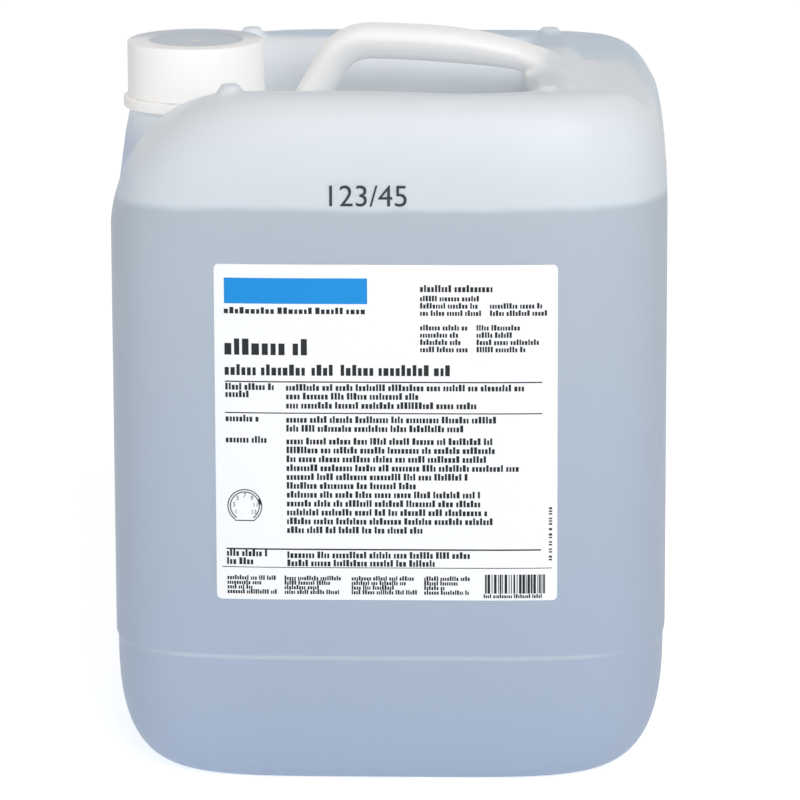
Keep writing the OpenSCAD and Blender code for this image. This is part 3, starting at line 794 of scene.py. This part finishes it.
# Painted light: a weak emission glow brightens the white.
skin = add(tree, "ShaderNodeBsdfPrincipled", {
    "Base Color": white, "Roughness": gloss.outputs[0], "Normal": bump.outputs[0],
    "IOR": PLASTIC_IOR, "Emission Color": white, "Emission Strength": CLOSURE_GLOW,
    "Specular IOR Level": 0.35, "Subsurface Weight": 0.15, "Subsurface Radius": (1.0, 1.0, 1.0),
    "Subsurface Scale": 1.5 * MM,
})
tree.links.new(skin.outputs[0], out.inputs[0])
print("closure material:", white_hdpe.name)

# %% [markdown]
# ## The screw cap
#
# A plain skirt and a top with a shallow round recess, where the mould's gate left a small
# mark in the middle. Inside is the thread that runs between the neck's own turns.

# %% Cap with its recess and thread
GATE_RADIUS, GATE_HEIGHT = 1.7, 0.3
CAP_CREST, CAP_THREAD_LOW, CAP_TURNS, CAP_PHASE = 24.7, 277.2, 1.4, math.radians(72)

recess_floor = CAP_TOP - RECESS_DEPTH
cap = lathe([
    (0, CAP_CEILING, 0), (CAP_BORE, CAP_CEILING, 0.5), (CAP_BORE, CAP_BOTTOM, 0.5),
    (CAP_RADIUS, CAP_BOTTOM, 0.4), (CAP_RADIUS, CAP_TOP, CAP_ROUND),
    (RECESS_RADIUS, CAP_TOP, 0.5), (RECESS_RADIUS - RECESS_SLOPE, recess_floor, 0.6),
    (GATE_RADIUS, recess_floor, 0.2), (GATE_RADIUS - 0.3, recess_floor + GATE_HEIGHT, 0.1),
    (0, recess_floor + GATE_HEIGHT, 0),
], closed=False)
thread(cap, CAP_BORE, CAP_CREST, CAP_THREAD_LOW, CAP_TURNS, CAP_PHASE)
piece("screw_cap_skirt", cap, "cap", white_hdpe, "white_hdpe", "screw_cap", sharp=40)
print("screw_cap_skirt:", 2 * CAP_RADIUS, "mm across")

# %% [markdown]
# ## The tamper ring
#
# The ring sits loose round the bead. Thin bridges once joined it to the cap: they are broken
# here, and their stubs stand in the narrow slot between the two.

# %% Ring and its broken bridges
RING_RADIUS, RING_BORE, RING_LIP, RING_BOTTOM, RING_TOP = 30.4, 28.1, 26.8, 269.9, 274.3
LIP_HEIGHT, RING_BEVEL = 1.2, 0.7
BRIDGES, BRIDGE_ANGLE, STUB_STEPS = 10, 29.0, 4
STUB_FOOT, STUB_TOP = RING_TOP - 0.3, RING_TOP + 0.22
STUB_SECTION = ((28.3, STUB_FOOT), (29.3, STUB_FOOT), (29.2, STUB_TOP), (28.4, STUB_TOP))

ring = lathe([
    (RING_LIP, RING_BOTTOM, 0.2), (RING_RADIUS, RING_BOTTOM, RING_BEVEL),
    (RING_RADIUS, RING_TOP, RING_BEVEL), (RING_BORE, RING_TOP, 0.2),
    (RING_BORE, RING_BOTTOM + LIP_HEIGHT, 0.1), (RING_LIP, RING_BOTTOM + LIP_HEIGHT, 0.3),
], closed=True)
for k in range(BRIDGES):
    stub = []
    for step in range(STUB_STEPS + 1):
        across_stub = BRIDGE_ANGLE * (step / STUB_STEPS - 0.5)
        turn = math.radians(360 * (k + 0.5) / BRIDGES + across_stub)
        stub.append([ring.verts.new(round_neck(r, turn, z)) for r, z in STUB_SECTION])
    tube(ring, stub)
bmesh.ops.recalc_face_normals(ring, faces=ring.faces)
piece("tamper_ring_band", ring, "ring", white_hdpe, "white_hdpe", "tamper_ring", sharp=40)
print("tamper_ring_band:", BRIDGES, "broken bridges")

# %% [markdown]
# ## The sealing disc
#
# Under the cap's ceiling lies a disc of foamed polyethylene. Closed cells, about a third of
# a millimetre wide, pit its skin, so it is dull and a little grey.

# %% Seal of foam
SEAL_RADIUS, SEAL_BOTTOM, SEAL_TOP, SEAL_BEVEL, CELL_SIZE = 25.2, 291.4, 293.0, 0.3, 0.35

seal_foam, tree, out = blank_material("closed_cell_foam")
place = add(tree, "ShaderNodeTexCoord").outputs["Object"]
cells = add(tree, "ShaderNodeTexVoronoi", {
    "Vector": place, "Scale": 1 / (CELL_SIZE * MM),
}).outputs["Distance"]
shade = add(tree, "ShaderNodeMix", {
    "Factor": cells, 6: linear("#D3D7DB"), 7: linear("#E6E8EA"),
}, data_type="RGBA")
bump = add(tree, "ShaderNodeBump", {"Height": cells, "Strength": 0.3, "Distance": 0.1 * MM})
skin = add(tree, "ShaderNodeBsdfPrincipled", {
    "Base Color": shade.outputs[2], "Roughness": 0.8, "Normal": bump.outputs[0],
})
tree.links.new(skin.outputs[0], out.inputs[0])

seal = lathe([
    (0, SEAL_BOTTOM, 0), (SEAL_RADIUS, SEAL_BOTTOM, SEAL_BEVEL),
    (SEAL_RADIUS, SEAL_TOP, SEAL_BEVEL), (0, SEAL_TOP, 0),
], closed=False)
piece("cap_seal_disc", seal, "seal", seal_foam, "seal_foam", "cap_seal", sharp=40)
print("cap_seal_disc made of", seal_foam.name)

# %% [markdown]
# ## The fluid
#
# Behind the milky wall the fluid shows only as the can's own tint. The solid itself is kept
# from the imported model, with the colour that it would have in a glass: a pale blue with
# slow drifts in it.

# %% Material of the fluid
DRIFT_SIZE, WATER_IOR = 45.0, 1.33

blue_fluid, tree, out = blank_material("pale_blue_cleaning_fluid")
place = add(tree, "ShaderNodeTexCoord").outputs["Object"]
drift = add(tree, "ShaderNodeTexNoise", {
    "Vector": place, "Scale": 1 / (DRIFT_SIZE * MM), "Detail": 3.0, "Distortion": 0.6,
}).outputs[0]
shade = add(tree, "ShaderNodeMix", {
    "Factor": drift, 6: linear("#A3B9D4"), 7: linear("#B7C9DE"),
}, data_type="RGBA")
ripple = add(tree, "ShaderNodeBump", {"Height": drift, "Strength": 0.05, "Distance": 1 * MM})
liquid = add(tree, "ShaderNodeBsdfPrincipled", {
    "Base Color": shade.outputs[2], "Roughness": 0.08, "IOR": WATER_IOR,
    "Normal": ripple.outputs[0],
})
tree.links.new(liquid.outputs[0], out.inputs[0])
fluid_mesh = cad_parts["cleaning_fluid"].data
fluid_mesh.materials.clear()
fluid_mesh.materials.append(blue_fluid)
print("fluid:", blue_fluid.name)

# %% [markdown]
# ## The label
#
# A paper label is glued to the front wall, which bulges by about a millimetre and a half
# over the label's width. So the sheet is cut in columns that follow the wall, with small
# round corners, and it stands proud of the plastic by its own thickness.

# %% Label sheet
LABEL_WIDTH, LABEL_HEIGHT, LABEL_LEFT, LABEL_TOP, LABEL_CORNER = 139.0, 139.5, -68.9, 221.1, 2.0
LABEL_COLUMNS, CORNER_CUTS = 40, (0, 0.2, 0.6, 1.2)
PAPER_BACK, PAPER_FACE, INK_BACK, INK_FACE = 0.03, 0.2, 0.18, 0.245


def on_wall(x, z, gap):
    """Point in metres on the front wall, or a gap in front of it, in millimetres."""
    share = abs(x) / (HALF_WIDTH + gap)
    y = (HALF_DEPTH + gap) * (1 - share ** PLAN_SQUARE) ** (1 / PLAN_SQUARE)
    return Vector((x, -y, z)) * MM


def wall_sheet(made, columns, back, face):
    """Adds a closed thin sheet on the wall from columns of (x, low z, high z)."""
    rows = []
    for x, low, high in columns:
        section = ((low, face), (high, face), (high, back), (low, back))
        rows.append([made.verts.new(on_wall(x, z, gap)) for z, gap in section])
    tube(made, rows)


columns = []
for u in (
    *CORNER_CUTS, *np.linspace(LABEL_CORNER, LABEL_WIDTH - LABEL_CORNER, LABEL_COLUMNS),
    *(LABEL_WIDTH - cut for cut in CORNER_CUTS[::-1]),
):
    short = max(LABEL_CORNER - min(u, LABEL_WIDTH - u), 0)
    cut = LABEL_CORNER - math.sqrt(LABEL_CORNER ** 2 - short ** 2)
    columns.append((LABEL_LEFT + u, LABEL_TOP - LABEL_HEIGHT + cut, LABEL_TOP - cut))
sheet = bmesh.new()
wall_sheet(sheet, columns, PAPER_BACK, PAPER_FACE)
print("label sheet:", len(columns), "columns")

# %% [markdown]
# ## Coated paper and ink
#
# The paper is coated, so it is white and smooth with a weak sheen, and only a faint fibre
# shows. The inks are thin and dull; a printed solid is never quite even, so a fine noise
# breaks their colour.

# %% Materials of the paper and inks
def printed(name, dark, pale, width, rough, strength):
    """Material of a thin dull layer whose colour wavers between two hex colours."""
    made, tree, out = blank_material(name)
    place = add(tree, "ShaderNodeTexCoord").outputs["Object"]
    fibre = add(tree, "ShaderNodeTexNoise", {
        "Vector": place, "Scale": 1 / (width * MM), "Detail": 4.0,
    }).outputs[0]
    tone = add(tree, "ShaderNodeMix", {
        "Factor": fibre, 6: linear(dark), 7: linear(pale),
    }, data_type="RGBA")
    bump = add(tree, "ShaderNodeBump", {
        "Height": fibre, "Strength": strength, "Distance": 0.05 * MM,
    })
    face = add(tree, "ShaderNodeBsdfPrincipled", {
        "Base Color": tone.outputs[2], "Roughness": rough, "Normal": bump.outputs[0],
        "Specular IOR Level": 0.3,
    })
    tree.links.new(face.outputs[0], out.inputs[0])
    return made


label_paper = printed("coated_label_paper", "#F1F3F6", "#F9FAFC", 0.8, 0.55, 0.08)
black_ink = printed("black_offset_ink", "#15171A", "#26292E", 0.5, 0.5, 0.05)
blue_ink = printed("blue_offset_ink", "#0787D6", "#1292DE", 0.6, 0.5, 0.05)
jet_ink = printed("grey_ink_jet", "#20252D", "#3C424C", 0.7, 0.6, 0.05)
piece("label_sheet", sheet, "can", label_paper, "label_paper", "front_label", sharp=30)
print("label_sheet made of", label_paper.name)

# %% [markdown]
# ## A generic print
#
# The print is a layout without words: a plain blue bar, ruled lines, and rows of small
# blocks where lines of writing would be, in the sizes that such a label has. A seeded
# generator picks the blocks' widths, so every run draws the same rows. Places are in
# millimetres from the label's top left corner.

# %% Blocks, rules and bars
SEED, LONGEST_COLUMN = 7, 5
LETTERS, LETTER_WIDTH, LETTER_RISES = (3, 11), (0.38, 0.62), (0, 0, 0.4)
LETTER_GAP, WORD_GAP = 0.21, 0.45

lots = np.random.default_rng(SEED)


def block(made, left, top, wide, tall):
    """Adds an inked rectangle on the label, cut in columns where it is long."""
    cuts = np.linspace(left, left + wide, max(2, int(wide / LONGEST_COLUMN) + 1))
    low = LABEL_TOP - top - tall
    wall_sheet(made, [(LABEL_LEFT + u, low, low + tall) for u in cuts], INK_BACK, INK_FACE)


def row(made, left, right, middle, tall, spread=1.0):
    """Adds a row of word-like groups of blocks, with the height of small letters."""
    u = left
    while u < right - tall:
        for _ in range(int(lots.integers(*LETTERS))):
            wide = tall * float(lots.uniform(*LETTER_WIDTH)) * spread
            if u + wide > right:
                break
            rise = tall * float(lots.choice(LETTER_RISES))
            block(made, u, middle - tall / 2 - rise, wide, tall + rise)
            u += wide + LETTER_GAP * tall * spread
        u += WORD_GAP * tall


# The bar is (left, top, wide, tall), a rule (left, top, right, tall), and a row (left, right,
# middle, height of its small letters, spread)
BLUE_BAR = (4.1, 5.6, 58.0, 10.6)
RULES = (
    (4.1, 48.2, 132.8, 0.5), (4.1, 61.2, 132.8, 0.45), (4.1, 118.0, 132.4, 0.6),
    (2.3, 125.8, 137.0, 0.3),
)
TITLE_ROWS = (
    (4.0, 62.0, 19.4, 1.9, 1.5), (4.1, 38.2, 35.0, 4.8, 1.1),
    (4.1, 36.8, 44.2, 3.25), (39.4, 48.9, 44.2, 3.25), (51.2, 97.2, 44.2, 3.25),
)

black, blue = bmesh.new(), bmesh.new()
block(blue, *BLUE_BAR)
for left, top, right, tall in RULES:
    block(black, left, top, right - left, tall)
for title in TITLE_ROWS:
    row(black, *title)
print("print: bar, rules and title rows")

# %% Rows of small print
SMALL, SMALLER, SMALLEST = 2.0, 1.65, 1.35
CORNER_HEAD = (83.4, 114.4, 10.1, 2.1)
CORNER_ROWS = (
    (83.4, 108.6, 14.1), (83.4, 107.4, 17.1), (111.6, 133.6, 17.1), (83.4, 109.3, 20.1),
    (111.6, 135.5, 20.1), (83.4, 103.2, 26.1), (106.2, 124.7, 26.1), (83.4, 99.0, 29.1),
    (106.2, 123.0, 29.1), (83.4, 100.6, 32.1), (106.2, 133.4, 32.1), (83.4, 103.2, 35.1),
    (106.2, 126.6, 35.1),
)

# Side heads and lines are (right, middle), and the long paragraph has even lines
HEAD_LEFT, LINE_LEFT, LONG_TOP, LONG_STEP = 4.3, 29.0, 73.4, 3.71
HEADS = ((24.2, 50.9), (15.0, 54.0), (19.0, 64.1), (21.8, 72.9), (22.0, 120.4), (16.0, 123.8))
SHORT_LINES = (
    (126.0, 51.1), (83.5, 54.7), (108.2, 58.5), (114.3, 64.4), (102.0, 68.1), (104.0, 121.0),
    (90.5, 124.4),
)
LONG_ENDS = (113.9, 113.9, 110.1, 124.2, 104.0, 82.0, 109.0, 109.8, 111.5, 113.9, 84.4)
FOOT_COLUMNS = ((4.4, 25.4), (27.8, 52.2), (55.2, 82.4), (84.8, 104.0))
FOOT_TOP, FOOT_STEP, FOOT_INDENT = 130.6, 1.95, 5

row(black, *CORNER_HEAD)
for left, right, middle in CORNER_ROWS:
    row(black, left, right, middle, SMALLER)
for right, middle in HEADS:
    row(black, HEAD_LEFT, right, middle, SMALL)
for right, middle in SHORT_LINES:
    row(black, LINE_LEFT, right, middle, SMALL)
for k, right in enumerate(LONG_ENDS):
    row(black, LINE_LEFT, right, LONG_TOP + LONG_STEP * k, SMALL)
for left, right in FOOT_COLUMNS:
    for k in range(4):
        row(black, left, right - FOOT_INDENT * (k % 3), FOOT_TOP + FOOT_STEP * k, SMALLEST)
print("print:", len(black.faces), "faces of black ink")

# %% Bars in the corner and the row up the edge
BARS_LEFT, BARS_LAST, BARS_RIGHT, BARS_TOP, BARS_TALL = 109.6, 133.8, 134.2, 128.6, 8.0
BAR_UNIT, GAP_UNIT, BARS_ROW = 0.36, 0.3, (109.0, 133.5, 137.9, 1.2)
EDGE_LEFT, EDGE_WIDE, EDGE_TOP, EDGE_BOTTOM = 135.6, 1.3, 100.5, 123.0
EDGE_TALL, EDGE_GAP, EDGE_SPACE, EDGE_GAP_SHARE = (0.5, 1.0), 0.5, 1.3, 0.8

u = BARS_LEFT
while u < BARS_LAST:
    wide = BAR_UNIT * float(lots.integers(1, 4))
    block(black, u, BARS_TOP, min(wide, BARS_RIGHT - u), BARS_TALL)
    u += wide + GAP_UNIT * float(lots.integers(1, 3))
row(black, *BARS_ROW)
v = EDGE_TOP
while v < EDGE_BOTTOM:
    tall = float(lots.uniform(*EDGE_TALL))
    block(black, EDGE_LEFT, v, EDGE_WIDE, tall)
    v += tall + (EDGE_GAP if lots.uniform() < EDGE_GAP_SHARE else EDGE_SPACE)
print("print: corner bars and edge row")

# %% [markdown]
# ## A dial of plain numbers
#
# On the left of the label is a small scale: two rings, a dark mark between them, and the odd
# numbers from 1 to 13. The numbers are text turned into thin meshes and laid on the wall.

# %% Dial
DIAL_U, DIAL_V, DIAL_OUTER, DIAL_INNER, DIAL_LINE = 11.8, 100.4, 7.1, 6.1, 0.42
DIAL_SWEEP, DIAL_STEPS, DIAL_MARK, MARK_STEPS = 145.0, 64, (62, 84), 8
DIAL_NUMBERS, NUMBER_RING, NUMBER_SIZE, NUMBER_SHARE = (1, 3, 5, 7, 9, 11, 13), 4.4, 2.5, 0.86


def figures(made, words, x, z, size, back, face, thin=0.0):
    """Adds plain figures, centred at a place on the wall, with strokes thinned on each side."""
    letters = bpy.data.curves.new("figures", "FONT")
    letters.body, letters.size, letters.extrude, letters.offset = words, size, 0.5, -thin
    letters.align_x = letters.align_y = "CENTER"
    holder = bpy.data.objects.new("figures", letters)
    bpy.context.scene.collection.objects.link(holder)
    bpy.context.view_layer.update()
    settled = holder.evaluated_get(bpy.context.evaluated_depsgraph_get())
    flat = bpy.data.meshes.new_from_object(settled)
    bpy.data.objects.remove(holder)
    bpy.data.curves.remove(letters)
    for v in flat.vertices:
        v.co = on_wall(x + v.co.x, z + v.co.y, face if v.co.z > 0 else back)
    made.from_mesh(flat)
    bpy.data.meshes.remove(flat)


def on_dial(radius, turn):
    """Place (x, z) on the wall at a radius and a turn from the dial's top, in radians."""
    x, z = LABEL_LEFT + DIAL_U, LABEL_TOP - DIAL_V
    return x + radius * math.sin(turn), z + radius * math.cos(turn)


def arc(made, inner, outer, start, end, steps):
    """Adds an inked arc round the dial's centre, between angles from the top in degrees."""
    section = ((inner, INK_FACE), (outer, INK_FACE), (outer, INK_BACK), (inner, INK_BACK))
    tube(made, [
        [made.verts.new(on_wall(*on_dial(radius, turn), gap)) for radius, gap in section]
        for turn in np.radians(np.linspace(start, end, steps + 1))
    ])


for radius in (DIAL_OUTER, DIAL_INNER):
    arc(black, radius - DIAL_LINE, radius, -DIAL_SWEEP, DIAL_SWEEP, DIAL_STEPS)
arc(black, DIAL_INNER, DIAL_OUTER - DIAL_LINE, *DIAL_MARK, MARK_STEPS)
sweep = math.radians(DIAL_SWEEP)
chord = DIAL_OUTER * math.sin(sweep)
block(black, DIAL_U - chord, DIAL_V - DIAL_OUTER * math.cos(sweep), 2 * chord, DIAL_LINE)
for k, number in enumerate(DIAL_NUMBERS):
    turn = sweep * NUMBER_SHARE * (2 * k / (len(DIAL_NUMBERS) - 1) - 1)
    figures(black, str(number), *on_dial(NUMBER_RING, turn), NUMBER_SIZE, INK_BACK, INK_FACE)
for made in (black, blue):
    bmesh.ops.recalc_face_normals(made, faces=made.faces)
piece("label_black_print", black, "can", black_ink, "label_paper", "front_label", sharp=30)
piece("label_blue_bar", blue, "can", blue_ink, "label_paper", "front_label", sharp=30)
print("dial: numbers", DIAL_NUMBERS)

# %% [markdown]
# ## Figures on the wall
#
# Above the label an ink-jet head has printed a short count on the plastic. Plain figures
# stand for it, with the same height and place.

# %% Ink-jet figures
COUNT_X, COUNT_Z, COUNT_SIZE, COUNT_THIN = -7.2, 248.7, 12.4, 0.04
COUNT_BACK, COUNT_FACE = -0.05, 0.04

count = bmesh.new()
figures(count, "123/45", COUNT_X, COUNT_Z, COUNT_SIZE, COUNT_BACK, COUNT_FACE, COUNT_THIN)
piece("wall_figures", count, "can", jet_ink, "natural_hdpe", "canister_body", sharp=30)
print("wall_figures made of", jet_ink.name)
